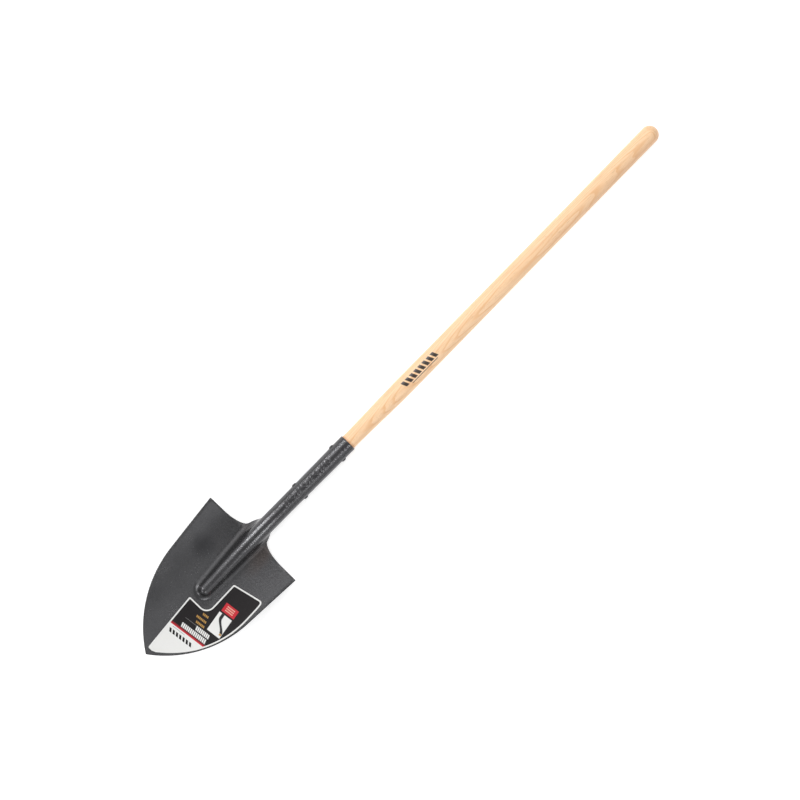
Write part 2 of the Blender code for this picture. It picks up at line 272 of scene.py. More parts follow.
def handle_radius(x):
    """A tapered tenon inside the socket, then a neck, a swell and an even grip."""
    if x <= SOCKET_MOUTH_X:
        return socket_radius(x) - SHEET - FIT_GAP
    if x <= SWELL_X:
        t = (x - SOCKET_MOUTH_X) / (SWELL_X - SOCKET_MOUTH_X)
        return mix(NECK_RADIUS, SWELL_RADIUS, smooth_step(t))
    return mix(SWELL_RADIUS, GRIP_RADIUS, smooth_step((x - SWELL_X) / (EVEN_X - SWELL_X)))


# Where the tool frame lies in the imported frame


def middle_of(node):
    low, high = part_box(node)
    return (low + high) / 2


def tool_to_floor():
    """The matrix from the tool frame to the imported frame, from the middles of the two rivets."""
    lower = Vector((LOWER_RIVET_X, 0, spine_height(LOWER_RIVET_X)))
    upper = Vector((UPPER_RIVET_X, 0, spine_height(UPPER_RIVET_X)))
    laid_lower = middle_of("rivet_lower")
    drawn = upper - lower
    laid = middle_of("rivet_upper") - laid_lower
    tilt = math.atan2(drawn.z, drawn.x) - math.atan2(laid.z, laid.x)
    turn = Matrix.Rotation(tilt, 4, "Y")
    return Matrix.Translation(laid_lower - turn @ lower) @ turn


TOOL = tool_to_floor()


# Blade surface


def blade_half_width(x):
    """Straight tapering sides, then one arc on each side that runs to the point."""
    side = math.tan(SIDE_TAPER)
    rise = math.cos(SIDE_TAPER) - math.cos(POINT_ANGLE)
    run = math.sin(POINT_ANGLE) - math.sin(SIDE_TAPER)
    radius = (BLADE_WIDTH / 2 - BLADE_LENGTH * side) / (rise - run * side)
    if x > radius * run:
        return BLADE_WIDTH / 2 - (BLADE_LENGTH - x) * side
    along = radius * math.sin(POINT_ANGLE) - x
    return max(math.sqrt(radius**2 - along**2) - radius * math.cos(POINT_ANGLE), TIP_FLAT / 2)


def blade_height(x):
    """Height of the middle of the dish, which levels off behind the shoulders."""
    on_blade = min(x, BLADE_LENGTH)
    slackening = (TIP_LIFT - SHOULDER_LIFT) / (2 * BLADE_LENGTH)
    height = TIP_HEIGHT - TIP_LIFT * on_blade + slackening * on_blade**2
    behind = min(max(x - BLADE_LENGTH, 0.0), HEEL_RUN)
    return height - SHOULDER_LIFT * (behind - behind**2 / (2 * HEEL_RUN))


def dish_rise(y):
    """How far the dish has risen at a distance y from its middle."""
    return DISH_DEPTH * (y / (BLADE_WIDTH / 2)) ** 2


# Frog and socket, as half sections that unroll from the crest


def crest_height(x):
    """Front line of the tool: along the socket, then bending to meet the blade at the nose."""
    if x >= FROG_ROOT_X:
        return spine_height(x) + socket_radius(x)
    run = FROG_ROOT_X - NOSE_X
    t = (x - NOSE_X) / run
    nose_height = blade_height(NOSE_X) + NOSE_HEIGHT
    root_height = spine_height(FROG_ROOT_X) + socket_radius(FROG_ROOT_X)
    ends = nose_height * (2 * t**3 - 3 * t**2 + 1) + root_height * (3 * t**2 - 2 * t**3)
    slopes = NOSE_SLOPE * (t**3 - 2 * t**2 + t) + SOCKET_SLOPE * (t**3 - t**2)
    return ends + run * slopes


def frog_lengths(x):
    """Turn of the frog's sides, and the developed lengths where its round top and fillet end."""
    t = min(max((x - NOSE_X) / (BLADE_LENGTH - NOSE_X), 0.0), 1.0)
    crest = mix(NOSE_CREST_RADIUS, SOCKET_WAIST_RADIUS, t)
    half_base = mix(NOSE_HALF_BASE, HEEL_HALF_BASE, t)
    turn = 2 * math.atan2(crest_height(x) - blade_height(x), half_base)
    fillet = half_base / math.sin(turn) - crest
    return turn, crest * turn, (crest + fillet) * turn


def wrap(x):
    """0 where the section is the frog, 1 where the sheet has closed into the socket."""
    return smooth_step((x - BLADE_LENGTH) / WRAP_RUN)


def section(x, lengths):
    """Distance across and drop below the crest at each developed length of the half section."""
    turn, top_end, fillet_end = frog_lengths(x)
    fine = np.linspace(0, max(lengths), SECTION_STEPS)
    frog_heading = np.interp(fine, [0, top_end, fillet_end], [0, turn, 0])
    heading = mix(frog_heading, fine / socket_radius(x), wrap(x))
    middle = (heading[1:] + heading[:-1]) / 2
    step = fine[1]
    across = np.concatenate([[0], np.cumsum(np.cos(middle)) * step])
    drop = np.concatenate([[0], np.cumsum(np.sin(middle)) * step])
    return np.interp(lengths, fine, across), np.interp(lengths, fine, drop)


def strip_lengths(x):
    """Developed lengths of the columns that make the frog and the strip of dish beside it."""
    _, top_end, fillet_end = frog_lengths(x)
    base = section(x, [fillet_end])[0][0]
    strip = STRIP_WIDTH * blade_half_width(x) / (BLADE_WIDTH / 2)
    return np.concatenate([
        np.linspace(0, top_end, TOP_COLUMNS, endpoint=False),
        np.linspace(top_end, fillet_end, FILLET_COLUMNS, endpoint=False),
        np.linspace(fillet_end, fillet_end + strip - base, DISH_COLUMNS),
    ])


def both_sides(across, heights):
    """The points (y, z) of a whole row from those of its half."""
    return [(-y, z) for y, z in zip(across[:0:-1], heights[:0:-1])] + list(zip(across, heights))


def nose_rise(x, across):
    """Height of the rounded end of the frog above the dish."""
    lengths = np.linspace(0, frog_lengths(NOSE_X)[-1], SECTION_STEPS)
    reach, drop = section(NOSE_X, lengths)
    distance = np.hypot(across, (NOSE_X - x) * reach[-1] / NOSE_REACH)
    return np.interp(distance, reach, NOSE_HEIGHT - drop, right=0.0)


def blade_row(x):
    """One row of the blade, from edge to edge."""
    if x >= NOSE_X:
        across, drop = section(x, strip_lengths(x))
        heights = crest_height(x) - drop
    else:
        at_nose, _ = section(NOSE_X, strip_lengths(NOSE_X))
        across = at_nose * blade_half_width(x) / blade_half_width(NOSE_X)
        heights = blade_height(x) + nose_rise(x, across)
    wing = np.linspace(across[-1], blade_half_width(x) - EDGE_ROUND, WING_COLUMNS + 1)[1:]
    across = np.concatenate([across, wing])
    heights = np.concatenate([heights, np.full(WING_COLUMNS, blade_height(x))])
    return both_sides(across, heights + dish_rise(across))


def socket_row(x, crotch):
    """One row of the web or the socket. crotch falls from 1 at the shoulder to 0 on the web.

    The rims along the seam are left free, by their own round and by as much again.
    """
    at_shoulder = strip_lengths(BLADE_LENGTH)
    closed = SEAM_ANGLE * socket_radius(x) - 2 * EDGE_ROUND
    lengths = at_shoulder * mix(closed / at_shoulder[-1], 1, crotch)
    across, drop = section(x, lengths)
    heights = crest_height(x) - drop + dish_rise(across) * (1 - wrap(x))
    row = both_sides(across, heights)
    if wrap(x) < 1:
        return row
    developed = np.concatenate([-lengths[:0:-1], lengths])
    rises = pressed_rise(x, developed)
    angles = developed / socket_radius(x)
    return [
        (y + rise * math.sin(angle), z + rise * math.cos(angle))
        for (y, z), rise, angle in zip(row, rises, angles)
    ]


def pressed_rise(x, developed):
    """How far the pressed mark stands out of the socket at each developed length of a row."""
    off = developed - PRESSED_MIDDLE
    inside = np.full(len(developed), -1.0)
    for i in range(PRESSED_COUNT):
        middle = PRESSED_START_X + PRESSED_PITCH * (i + 0.5)
        if i % 2:
            reach = np.abs(x - middle) / LOZENGE_HALF_LENGTH + np.abs(off) / PRESSED_HALF_HEIGHT
            from_wall = np.abs(reach - LOZENGE_WALL) * LOZENGE_HALF_LENGTH
            wall = BAR_HALF_WIDTH - from_wall * LOZENGE_NARROWING
            inside = np.maximum(inside, wall)
            continue
        for side in (-1, 1):
            along = x - middle - side * BAR_SPACING / 2 - BAR_SLANT * off
            bar = np.minimum(BAR_HALF_WIDTH - np.abs(along), PRESSED_HALF_HEIGHT - np.abs(off))
            inside = np.maximum(inside, bar)
    t = np.clip(inside / PRESSED_SOFTNESS, 0, 1)
    return PRESSED_RISE * t * t * (3 - 2 * t)


def head_rows():
    """(x, row) for every row of the head, from the tip to the mouth of the socket."""
    nose_foot = NOSE_X - NOSE_REACH - ROW_MARGIN
    shoulder = BLADE_LENGTH - EDGE_ROUND
    web_end = BLADE_LENGTH + WRAP_RUN
    pressed_end = PRESSED_START_X + PRESSED_PITCH * PRESSED_COUNT + ROW_MARGIN
    blade_stations = np.concatenate([
        np.geomspace(FIRST_ROW_X, POINT_END_X, POINT_ROWS, endpoint=False),
        np.linspace(POINT_END_X, nose_foot, BELLY_ROWS, endpoint=False),
        np.linspace(nose_foot, NOSE_X, NOSE_ROWS, endpoint=False),
        np.linspace(NOSE_X, shoulder, FROG_ROWS),
    ])
    rows = [(x, blade_row(x)) for x in blade_stations]
    for angle in np.linspace(0, math.pi / 2, CROTCH_ROWS)[1:]:
        x = shoulder + (CROTCH_RUN + EDGE_ROUND) * (1 - math.cos(angle))
        rows.append((x, socket_row(x, 1 - math.sin(angle))))
    web_stations = np.concatenate([
        np.linspace(BLADE_LENGTH + CROTCH_RUN, web_end, WEB_ROWS)[1:],
        np.arange(web_end + PRESSED_ROW_STEP, pressed_end, PRESSED_ROW_STEP),
        np.linspace(pressed_end, SOCKET_MOUTH_X - EDGE_ROUND, MOUTH_ROWS),
    ])
    return rows + [(x, socket_row(x, 0.0)) for x in web_stations]


# Building helpers


def make_piece(name, bm, material):
    """Lays a smooth-shaded object on the floor. Its vertices keep their place in the tool frame."""
    bmesh.ops.recalc_face_normals(bm, faces=bm.faces)
    for face in bm.faces:
        face.smooth = True
    place = bm.verts.layers.float_vector.new("place")
    for vertex in bm.verts:
        vertex[place] = vertex.co
    bm.transform(TOOL)
    mesh = bpy.data.meshes.new(name)
    bm.to_mesh(mesh)
    bm.free()
    mesh.materials.append(material)
    made = bpy.data.objects.new(name, mesh)
    bpy.context.scene.collection.objects.link(made)
    return made


def sharpen(bm, limit):
    """Marks the edges that turn by more than limit, so that they stay crisp."""
    bm.normal_update()
    for edge in bm.edges:
        edge.smooth = edge.calc_face_angle(0) < limit


def outward_directions(bm):
    """For each vertex on the rim of an open sheet, the way out of the sheet along its surface."""
    outward = {}
    for face in bm.faces:
        for loop in face.loops:
            if not loop.edge.is_boundary:
                continue
            a = loop.vert
            b = loop.link_loop_next.vert
            out = (b.co - a.co).normalized().cross(face.normal)
            for vertex in (a, b):
                outward[vertex] = outward.get(vertex, Vector((0, 0, 0))) + out
    return {vertex: out.normalized() for vertex, out in outward.items()}


def thicken_with_round_rim(bm, thickness, bulge):
    """Closes an open sheet into a plate whose rim is worn round, standing out by bulge.

    Each step of the rim's profile is a share of the bulge and a share of the thickness.
    """
    bm.normal_update()
    rim_layer = bm.verts.layers.float.new("rim")
    outward = outward_directions(bm)
    rim_loops = [
        (loop.vert, loop.link_loop_next.vert)
        for face in bm.faces for loop in face.loops if loop.edge.is_boundary
    ]
    sheet = list(bm.faces)
    back = {vertex: bm.verts.new(vertex.co - vertex.normal * thickness) for vertex in list(bm.verts)}
    for face in sheet:
        bm.faces.new([back[vertex] for vertex in reversed(face.verts)])
    ladders = {}
    for vertex, out in outward.items():
        rungs = [vertex]
        for reach, depth in RIM_PROFILE:
            place = vertex.co + out * bulge * reach - vertex.normal * thickness * depth
            rungs.append(bm.verts.new(place))
        rungs.append(back[vertex])
        for rung in rungs:
            rung[rim_layer] = 1.0
        ladders[vertex] = rungs
    for a, b in rim_loops:
        for k in range(len(RIM_PROFILE) + 1):
            bm.faces.new([ladders[b][k], ladders[a][k], ladders[a][k + 1], ladders[b][k + 1]])


# Shader graphs


class Value:
    """A number that varies over a surface, with arithmetic that adds Math nodes."""

    def __init__(self, graph, socket):
        self.graph = graph
        self.socket = socket

    def __add__(self, other):
        return self.graph.maths("ADD", self, other)

    def __sub__(self, other):
        return self.graph.maths("SUBTRACT", self, other)

    def __rsub__(self, other):
        return self.graph.maths("SUBTRACT", other, self)

    def __mul__(self, other):
        return self.graph.maths("MULTIPLY", self, other)

    def __truediv__(self, other):
        return self.graph.maths("DIVIDE", self, other)

    def __pow__(self, other):
        return self.graph.maths("POWER", self, other)

    def __abs__(self):
        return self.graph.maths("ABSOLUTE", self, 0.0)

    __radd__ = __add__
    __rmul__ = __mul__


class Graph:
    """The shader graph of one material."""

    def __init__(self, name):
        self.material = bpy.data.materials.new(name)
        self.material.use_nodes = True
        self.tree = self.material.node_tree
        self.shader = self.tree.nodes["Principled BSDF"]

    def feed(self, socket, value):
        """Links a varying value to a socket, or sets the socket to a constant."""
        if isinstance(value, Value):
            self.tree.links.new(value.socket, socket)
        else:
            socket.default_value = value

    def node(self, kind, settings, inputs, output=0):
        """Adds a node: its settings first, then the values or links of its sockets."""
        made = self.tree.nodes.new("ShaderNode" + kind)
        for name, value in settings.items():
            setattr(made, name, value)
        for place, value in inputs.items():
            self.feed(made.inputs[place], value)
        return Value(self, made.outputs[output])

    def maths(self, operation, a, b):
        return self.node("Math", {"operation": operation}, {0: a, 1: b})

    def place(self):
        """The point of the surface, in the tool frame."""
        return self.node("Attribute", {"attribute_name": "place"}, {}, "Vector")

    def attribute(self, name):
        return self.node("Attribute", {"attribute_name": name}, {}, "Fac")

    def axes(self, vector):
        """The three parts of a vector."""
        parts = self.node("SeparateXYZ", {}, {0: vector})
        return [Value(self, socket) for socket in parts.socket.node.outputs]

    def combine(self, x, y, z):
        return self.node("CombineXYZ", {}, {0: x, 1: y, 2: z})

    def scaled(self, vector, factors):
        return self.node("VectorMath", {"operation": "MULTIPLY"}, {0: vector, 1: factors})

    def noise(self, vector, scale, detail=2.0, roughness=0.5):
        inputs = {"Vector": vector, "Scale": scale, "Detail": detail, "Roughness": roughness}
        return self.node("TexNoise", {}, inputs)

    def fade(self, value, start, end):
        """0 where value is at start, 1 where it is at end, and smooth in between."""
        inputs = {"Value": value, "From Min": start, "From Max": end}
        return self.node("MapRange", {"interpolation_type": "SMOOTHSTEP"}, inputs)

    def band(self, value, low, high, soft):
        """1 between low and high, 0 outside."""
        return self.fade(value, low - soft, low + soft) * self.fade(value, high + soft, high - soft)

    def blend(self, factor, a, b):
        inputs = {0: factor, 6: colour_of(a), 7: colour_of(b)}
        return self.node("Mix", {"data_type": "RGBA"}, inputs, 2)

    def finish(self, constants, **varying):
        """Sets the shader's sockets: constants by name, and what varies over the surface."""
        for name, value in constants.items():
            self.shader.inputs[name].default_value = value
        self.feed(self.shader.inputs["Base Color"], varying["colour"])
        self.feed(self.shader.inputs["Roughness"], varying["roughness"])
        normal = self.node("Bump", {}, {"Height": varying["height"], "Distance": 1.0})
        self.feed(self.shader.inputs["Normal"], normal)
        return self.material


def colour_of(value):
    return value if isinstance(value, Value) else (*value, 1.0)


# Materials


def painted_steel(name, gloss):
    """Dark grey stove paint with a fine orange peel, thin at the edges. gloss lowers roughness."""
    g = Graph(name)
    place = g.place()
    x, y, _ = g.axes(place)
    grain = g.noise(place, 330.0, 3.0, 0.6)
    patches = g.noise(place, 16.0, 3.0, 0.5)
    peel = g.noise(place, 260.0, 2.0, 0.5)
    dust = g.noise(place, 1500.0, 2.0, 0.5)
    lightness = 0.5 + (grain - 0.5) * 1.6 + (patches - 0.5) * 0.9
    paint = g.blend(lightness, DARK_PAINT, PALE_PAINT)
    # A brown tint, in patches, in each crotch
    crotch_x = g.band(x, CROTCH_TINT_START_X, CROTCH_TINT_END_X, 0.03)
    crotch_y = g.band(abs(y), CROTCH_TINT_INNER_Y, CROTCH_TINT_OUTER_Y, 0.012)
    crotch_tint = crotch_x * crotch_y * g.fade(patches, 0.35, 0.65) * 0.55
    paint = g.blend(crotch_tint, paint, BROWN_CROTCH_TINT)
    # Painted shade: a soft dark patch on the dish beside the frog, with a ragged edge
    from_shade_patch = ((x - SHADE_PATCH_X) ** 2 + (y - SHADE_PATCH_Y) ** 2) ** 0.5
    ragged = from_shade_patch + (patches - 0.5) * 0.012
    paint = g.blend(g.fade(ragged, SHADE_PATCH_RADIUS, SHADE_PATCH_CORE) * 0.55, paint, PAINTED_SHADE_GREY)
    wear = g.attribute("rim") * g.fade(grain, 0.48, 0.66) * 0.5
    paint = g.blend(wear, paint, WORN_PAINT)
    roughness = 0.31 - gloss + (patches - 0.5) * 0.12 + (grain - 0.5) * 0.10
    roughness = roughness - g.fade(x, 0.200, 0.330) * 0.05
    height = (peel - 0.5) * 0.00024 + (dust - 0.5) * 0.00004
    return g.finish({"Metallic": 0.75}, colour=paint, roughness=roughness, height=height)


def ash_wood():
    """Pale lacquered ash, with rings that run out as arches, open pores and an ink mark."""
    g = Graph("ash_wood")
    place = g.place()
    x, y, z = g.axes(place)
    drift = g.noise(g.scaled(place, (3.5, 30.0, 30.0)), 1.0, 2.0)
    waver = g.noise(g.scaled(place, (14.0, 90.0, 90.0)), 1.0, 2.0)
    across = y - PITH_Y
    deep = z - PITH_Z
    from_pith = (across * across + deep * deep) ** 0.5
    arches = g.maths("SINE", (x - ARCH_X) * ARCH_RATE, 0.0) * ARCH_SWING
    wander = (drift - 0.5) * 0.011 + (waver - 0.5) * 0.0016
    rings = (from_pith + arches + wander) / RING_WIDTH
    turn = g.maths("FRACT", rings, 0.0)
    late = g.fade(turn, 0.50, 0.90) * g.fade(turn, 1.0, 0.94)
    fibre = g.noise(g.scaled(place, (18.0, 700.0, 700.0)), 1.0, 3.0, 0.6)
    slanting = g.combine(x, y + x * STREAK_SLANT, z)
    streak = g.noise(g.scaled(slanting, (6.0, 150.0, 150.0)), 1.0, 3.0, 0.6)
    cloud = g.noise(g.scaled(place, (7.0, 22.0, 22.0)), 1.0, 2.0)
    pores = g.noise(g.scaled(place, (75.0, 1900.0, 1900.0)), 1.0, 2.0)
    pits = g.fade(pores, 0.60, 0.72) * (1 - late)
    wood = g.blend(late, EARLY_WOOD, LATE_WOOD)
    wood = g.blend(g.fade(streak, 0.46, 0.72) * 0.50, wood, WOOD_STREAK)
    wood = g.blend(g.fade(fibre, 0.35, 0.75) * 0.22, wood, WOOD_FIBRE)
    # Painted shade: the -Y side of the handle towards the grip is darkened, in cloudy patches
    grip_shade = g.fade(y, 0.004, -0.020) * g.fade(x, 0.95, 1.40) * (0.35 + cloud * 0.5)
    wood = g.blend(grip_shade, wood, SHADED_GRIP_WOOD)
    wood = g.blend(pits * 0.55, wood, WOOD_PORE)
    # Painted shade: a thin darker brown band on the wood just out of the socket's mouth
    mouth = g.fade(x, SOCKET_MOUTH_X + 0.006, SOCKET_MOUTH_X + 0.0005)
    wood = g.blend(mouth * 0.6, wood, MOUTH_SHADE_WOOD)
    ink = ink_mark(g, x, y, z) * g.fade(pores, 0.86, 0.74)
    wood = g.blend(ink * 0.97, wood, INK)
    roughness = 0.42 + pits * 0.2 + (fibre - 0.5) * 0.12 - ink * 0.08
    height = (fibre - 0.5) * 0.00003 - pits * 0.00006 - late * 0.00001
    settings = {"Coat Weight": 0.25, "Coat Roughness": 0.28}
    return g.finish(settings, colour=wood, roughness=roughness, height=height)


def ink_mark(g, x, y, z):
    """A printed strip of plain slanted bars over a thin line, on the front of the handle."""
    front = g.fade(z, 0.000, 0.004)
    slanted = x + y * INK_SLANT
    phase = g.maths("FRACT", (slanted - INK_START_X) / INK_PITCH, 0.0)
    bars = g.band(phase, 0.02, 0.68, 0.03)
    strip = bars * g.band(slanted, INK_START_X, INK_END_X, INK_SOFTNESS)
    strip = strip * g.band(y, INK_LOW_Y, INK_HIGH_Y, INK_SOFTNESS)
    line = g.band(x, LINE_START_X, LINE_END_X, INK_SOFTNESS)
    line = line * g.band(y, LINE_LOW_Y, LINE_HIGH_Y, LINE_SOFTNESS)
    return g.maths("MAXIMUM", strip, line) * front


def printed_film():
    """The label: a black field in a white border over a white foot, with plain printed shapes."""
    g = Graph("printed_film")
    place = g.place()
    x, y, _ = g.axes(place)
    across = x * math.sin(PRINT_TURN) - y * math.cos(PRINT_TURN)
    along = x * math.cos(PRINT_TURN) + y * math.sin(PRINT_TURN)
    soft = PRINT_SOFTNESS

    def box(low, high, near, far):
        """1 from low to high across the label and from near to far along it."""
        return g.band(across, low, high, soft) * g.band(along, near, far, soft)

    def blocks(low, count, near, far, pitch, filled, slant):
        """A row of count leaning blocks, each taking up the filled share of the pitch."""
        leaning = across + (along - near) * slant - low
        phase = g.maths("FRACT", leaning / pitch, 0.0)
        row = g.band(leaning, 0.0, count * pitch, soft) * g.band(along, near, far, soft)
        return row * g.band(phase, 0.0, filled, 0.05)

    def red_stripe():
        """Two tones of red, from edge to edge above the white foot."""
        low = -0.010
        high = 0.100
        middle = 0.0800
        yield box(low, high, 0.0772, middle), RED
        yield box(low, high, middle, 0.0822), DARK_RED

    def red_panel():
        """Three rows of pale blocks on a red box."""
        yield box(0.0705, 0.1000, 0.1550, 0.1735), RED
        first_row = 0.1590
        row_pitch = 0.0042
        row_height = 0.0024
        for i in range(3):
            near = first_row + row_pitch * i
            yield blocks(0.0765, 6, near, near + row_height, 0.0030, 0.75, 0.0), CREAM

    def white_panel():
        """A plain bent bar with a small gold end."""
        low = 0.0690
        high = 0.0990
        far = 0.1515
        bar_end = 0.1180
        bar_shift = 0.0175
        yield box(low, high, 0.1090, far), WHITE
        bend = g.fade(along, 0.143, 0.117)
        bar = g.band(across - bend * bar_shift, 0.0752, 0.0815, 0.0006)
        yield bar * box(low, high, bar_end, far), DRAWN_BAR
        yield box(0.0935, 0.0985, 0.1140, bar_end - 0.0002), GOLD

    def gold_rows():
        """Three short rows beside the white panel, as (low, count, near)."""
        row_height = 0.0044
        for low, count, near in ((0.0460, 4, 0.1262), (0.0380, 7, 0.1158), (0.0435, 6, 0.1064)):
            yield blocks(low, count, near, near + row_height, 0.0034, 0.72, 0.25), GOLD

    def heading():
        """Two rows of large white blocks over the stripe, with a thin line beside the first."""
        filled = 0.74
        slant = 0.2
        yield box(0.0217, 0.0520, 0.1020, 0.1026), GREY
        yield blocks(0.0510, 8, 0.0945, 0.1030, 0.0040, filled, slant), WHITE
        yield blocks(0.0240, 14, 0.0832, 0.0920, 0.0042, filled, slant), WHITE

    def foot_row():
        """A row of black blocks and a thin line on the white foot."""
        low = 0.0110
        yield blocks(low, 7, 0.0620, 0.0695, 0.0080, 0.64, 0.55), BLACK
        yield box(low, 0.0400, 0.0738, 0.0746), GREY

    above_foot = g.fade(along, LABEL_FOOT_END - soft, LABEL_FOOT_END + soft)
    print_colour = g.blend(above_foot, WHITE, BLACK)
    for part in (red_stripe, red_panel, white_panel, gold_rows, heading, foot_row):
        for mask, colour in part():
            print_colour = g.blend(mask, print_colour, colour)
    border = g.fade(g.attribute("inset"), LABEL_BORDER + soft, LABEL_BORDER - soft)
    print_colour = g.blend(border, print_colour, WHITE)
    wrinkle = g.noise(place, 28.0, 2.0)
    fleck = g.noise(place, 700.0, 2.0)
    print_colour = g.blend(g.fade(fleck, 0.62, 0.80) * 0.06, print_colour, FLECK)
    roughness = 0.36 + (wrinkle - 0.5) * 0.14 + (fleck - 0.5) * 0.06
    height = (wrinkle - 0.5) * 0.0004
    settings = {"Specular IOR Level": 0.25}
    return g.finish(settings, colour=print_colour, roughness=roughness, height=height)


# Pieces


def make_head(material):
    """Blade, frog, webs and socket: one pressed sheet with worn rims."""
    bm = bmesh.new()
    rows = [[bm.verts.new((x, y, z)) for y, z in row] for x, row in head_rows()]
    for lower, upper in zip(rows, rows[1:]):
        trim = (len(lower) - len(upper)) // 2
        matching = lower[trim:len(lower) - trim]
        for a, b, c, d in zip(matching, upper, upper[1:], matching[1:]):
            bm.faces.new([d, c, b, a])
    bmesh.ops.recalc_face_normals(bm, faces=bm.faces)
    bm.normal_update()
    if sum(face.normal.z for face in bm.faces) < 0:
        bmesh.ops.reverse_faces(bm, faces=bm.faces)
    thicken_with_round_rim(bm, SHEET, EDGE_ROUND)
    return make_piece("steel_head", bm, material)


def handle_stations():
    """(x, radius) of the rings of the handle, from the end inside the socket to the grip."""
    dome_start = OVERALL_LENGTH - GRIP_RADIUS
    stations = [(TENON_END_X, handle_radius(TENON_END_X) - TENON_CHAMFER)]
    lengths = np.concatenate([
        np.linspace(TENON_END_X + TENON_CHAMFER, SOCKET_MOUTH_X, TENON_RINGS),
        np.linspace(SOCKET_MOUTH_X + FIT_GAP, BEND_TOP_X, NECK_RINGS),
        np.linspace(BEND_TOP_X, dome_start, GRIP_RINGS)[1:],
    ])
    stations += [(x, handle_radius(x)) for x in lengths]
    for angle in np.linspace(0, math.pi / 2, DOME_RINGS)[1:-1]:
        x = dome_start + GRIP_RADIUS * math.sin(angle)
        stations.append((x, GRIP_RADIUS * math.cos(angle)))
    return stations


def make_handle(material):
    """The pole: round rings along the bent centre line, with a round grip end."""
    bm = bmesh.new()
    turns = [2 * math.pi * i / HANDLE_SIDES for i in range(HANDLE_SIDES)]
    rings = []
    for x, radius in handle_stations():
        middle = spine_height(x)
        rings.append([
            bm.verts.new((x, radius * math.cos(t), middle + radius * math.sin(t))) for t in turns
        ])
    for lower, upper in zip(rings, rings[1:]):
        for i in range(HANDLE_SIDES):
            j = (i + 1) % HANDLE_SIDES
            bm.faces.new([lower[i], upper[i], upper[j], lower[j]])
    bm.faces.new(rings[0])
    grip_tip = bm.verts.new((OVERALL_LENGTH, 0, 0))
    for i in range(HANDLE_SIDES):
        bm.faces.new([rings[-1][i], grip_tip, rings[-1][(i + 1) % HANDLE_SIDES]])
    sharpen(bm, math.radians(40))
    return make_piece("ash_handle", bm, material)


def make_rivet(name, x, material):
    """A shank across the socket with a domed head on each side, seated on the round socket."""
    seat = socket_radius(x) + FIT_GAP
    profile = [
        (HEAD_RADIUS * math.sin(t), HEAD_HEIGHT * math.cos(t))
        for t in np.linspace(0, math.pi / 2, ARC_STEPS)[1:]
    ]
    profile.append((SHANK_RADIUS, 0))
    turns = [2 * math.pi * i / RIVET_SIDES for i in range(RIVET_SIDES)]
    bm = bmesh.new()

    def ring(radius, lift, side):
        made = []
        for t in turns:
            up = radius * math.sin(t)
            out = side * (math.sqrt(seat**2 - up**2) + lift)
            made.append(bm.verts.new((radius * math.cos(t), out, up)))
        return made

    rings = [ring(radius, lift, 1) for radius, lift in profile]
    rings += [ring(radius, lift, -1) for radius, lift in reversed(profile)]
    for one, two in zip(rings, rings[1:]):
        for i in range(RIVET_SIDES):
            j = (i + 1) % RIVET_SIDES
            bm.faces.new([one[i], two[i], two[j], one[j]])
    for end, side in ((rings[0], 1), (rings[-1], -1)):
        apex = bm.verts.new((0, side * (seat + HEAD_HEIGHT), 0))
        for i in range(RIVET_SIDES):
            bm.faces.new([end[i], end[(i + 1) % RIVET_SIDES], apex])
    lean = Matrix.Rotation(-math.atan(SOCKET_SLOPE), 4, "Y")
    bm.transform(Matrix.Translation((x, 0, spine_height(x))) @ lean)
    sharpen(bm, math.radians(50))
    return make_piece(name, bm, material)


def rounded(corners):
    """Outline with an arc at each (x, y, radius) corner; a radius of 0 keeps the point."""
    outline = []
    count = len(corners)
    for i, (x, y, radius) in enumerate(corners):
        here = Vector((x, y))
        if radius == 0:
            outline.append(here)
            continue
        before = (Vector(corners[i - 1][:2]) - here).normalized()
        after = (Vector(corners[(i + 1) % count][:2]) - here).normalized()
        half = before.angle(after) / 2
        centre = here + (before + after).normalized() * radius / math.sin(half)
        start = here + before * radius / math.tan(half) - centre
        sweep = start.angle_signed(here + after * radius / math.tan(half) - centre)
        for k in range(ARC_STEPS + 1):
            outline.append(centre + Matrix.Rotation(-sweep * k / ARC_STEPS, 2) @ start)
    return outline


def label_outer_edge(x):
    """Distance from the middle to the edge that follows the side of the blade."""
    away = (x - LABEL_WAIST_X) / (LABEL_TOP_RUN if x > LABEL_WAIST_X else LABEL_FOOT_RUN)
    return blade_half_width(x) - LABEL_MARGIN - LABEL_TOP_MARGIN * away**2


def label_outline():
    """A tower beside the frog on a foot that reaches the point, with a hollow round the nose.

    Each corner is its place along the tool and across it, and its radius.
    """
    tower_inner = (0.2155, 0.0355, 0.003)
    tower_outer = (0.2305, 0.0995, 0.006)
    point_outer = (LABEL_FOOT_X, 0.0035, 0.002)
    point_inner = (LABEL_FOOT_X, -0.0063, 0.003)
    foot_inner = (LABEL_HOLLOW_X, -0.0125, 0.003)
    hollow = (LABEL_HOLLOW_X, 0.0345, 0.017)
    stations = np.linspace(LABEL_EDGE_START_X, LABEL_EDGE_END_X, LABEL_EDGE_POINTS)
    edge = [(x, label_outer_edge(x), 0) for x in stations]
    corners = [tower_inner, tower_outer, *edge, point_outer, point_inner, foot_inner, hollow]
    return rounded(corners)


def distance_inside(point, outline):
    """Distance from a point of the label to its outline."""
    starts = np.array(outline)
    spans = np.roll(starts, -1, axis=0) - starts
    to_point = np.array(point) - starts
    along = np.clip((to_point * spans).sum(1) / (spans * spans).sum(1), 0, 1)
    return np.hypot(*(to_point - spans * along[:, None]).T).min()


